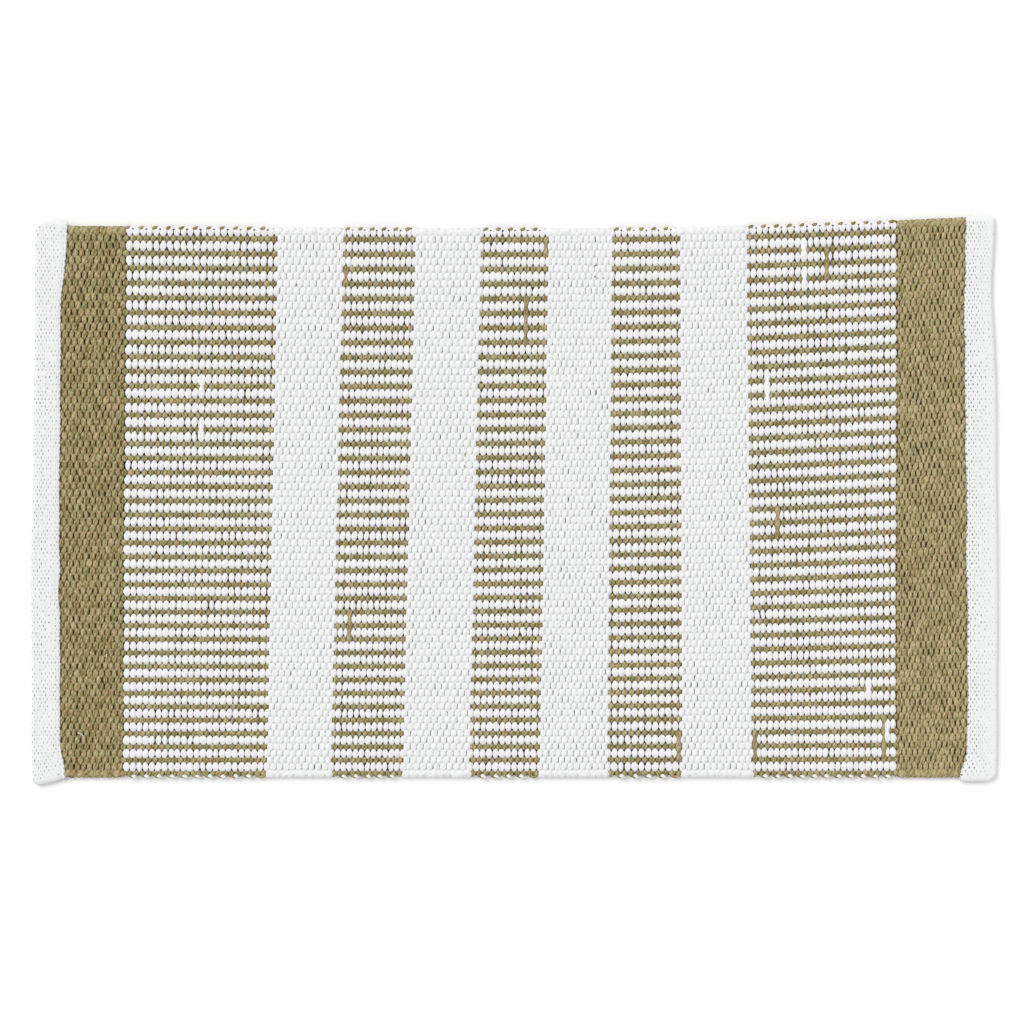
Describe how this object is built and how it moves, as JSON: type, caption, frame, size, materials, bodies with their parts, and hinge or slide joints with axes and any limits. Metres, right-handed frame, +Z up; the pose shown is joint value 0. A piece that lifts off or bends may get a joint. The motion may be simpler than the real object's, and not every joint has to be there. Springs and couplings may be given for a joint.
{
  "type": "bath mat",
  "caption": "Flat hand-woven cotton bath mat: bands of thick weft packed over hidden warp cords, with a folded and stitched hem at each end.",
  "frame": {"origin": "centre of the mat's outline, on the floor under it", "axes": "+X along the mat, from the left hem to the right one, with the warp; +Y across it with the weft, to the back selvedge; +Z up, out of the face that shows"},
  "size_m": [0.8642, 0.51, 0.0066],
  "materials": {
    "mixed_cotton": "matte",
    "olive_cotton": "matte",
    "sewing_thread": "matte",
    "warp_cord": "matte",
    "white_cotton": "matte",
    "white_heading": "matte"
  },
  "bodies": {
    "root": {"hem_bobbin_left": "sewing_thread", "hem_bobbin_right": "sewing_thread", "hem_left": "white_heading", "hem_right": "white_heading", "hem_stitch_left": "sewing_thread", "hem_stitch_right": "sewing_thread", "mixed_band_centre": "mixed_cotton", "mixed_band_left": "mixed_cotton", "mixed_band_right": "mixed_cotton", "mixed_band_wide_left": "mixed_cotton", "mixed_band_wide_right": "mixed_cotton", "olive_band_left": "olive_cotton", "olive_band_right": "olive_cotton", "warp_cords_01": "warp_cord", "warp_cords_02": "warp_cord", "warp_cords_03": "warp_cord", "warp_cords_04": "warp_cord", "warp_cords_05": "warp_cord", "warp_cords_06": "warp_cord", "warp_cords_07": "warp_cord", "warp_cords_08": "warp_cord", "warp_cords_09": "warp_cord", "warp_cords_10": "warp_cord", "warp_cords_11": "warp_cord", "warp_cords_12": "warp_cord", "warp_cords_13": "warp_cord", "warp_cords_14": "warp_cord", "warp_cords_15": "warp_cord", "warp_cords_16": "warp_cord", "warp_cords_17": "warp_cord", "warp_cords_18": "warp_cord", "warp_cords_19": "warp_cord", "warp_cords_20": "warp_cord", "warp_cords_21": "warp_cord", "warp_cords_22": "warp_cord", "warp_cords_23": "warp_cord", "warp_cords_24": "warp_cord", "warp_cords_25": "warp_cord", "warp_cords_26": "warp_cord", "warp_cords_27": "warp_cord", "warp_cords_28": "warp_cord", "warp_cords_29": "warp_cord", "warp_cords_30": "warp_cord", "warp_cords_31": "warp_cord", "warp_cords_32": "warp_cord", "warp_cords_33": "warp_cord", "warp_cords_34": "warp_cord", "warp_cords_35": "warp_cord", "warp_cords_36": "warp_cord", "warp_cords_37": "warp_cord", "warp_cords_38": "warp_cord", "white_band_1": "white_cotton", "white_band_2": "white_cotton", "white_band_3": "white_cotton", "white_band_4": "white_cotton"}
  },
  "joints": []
}
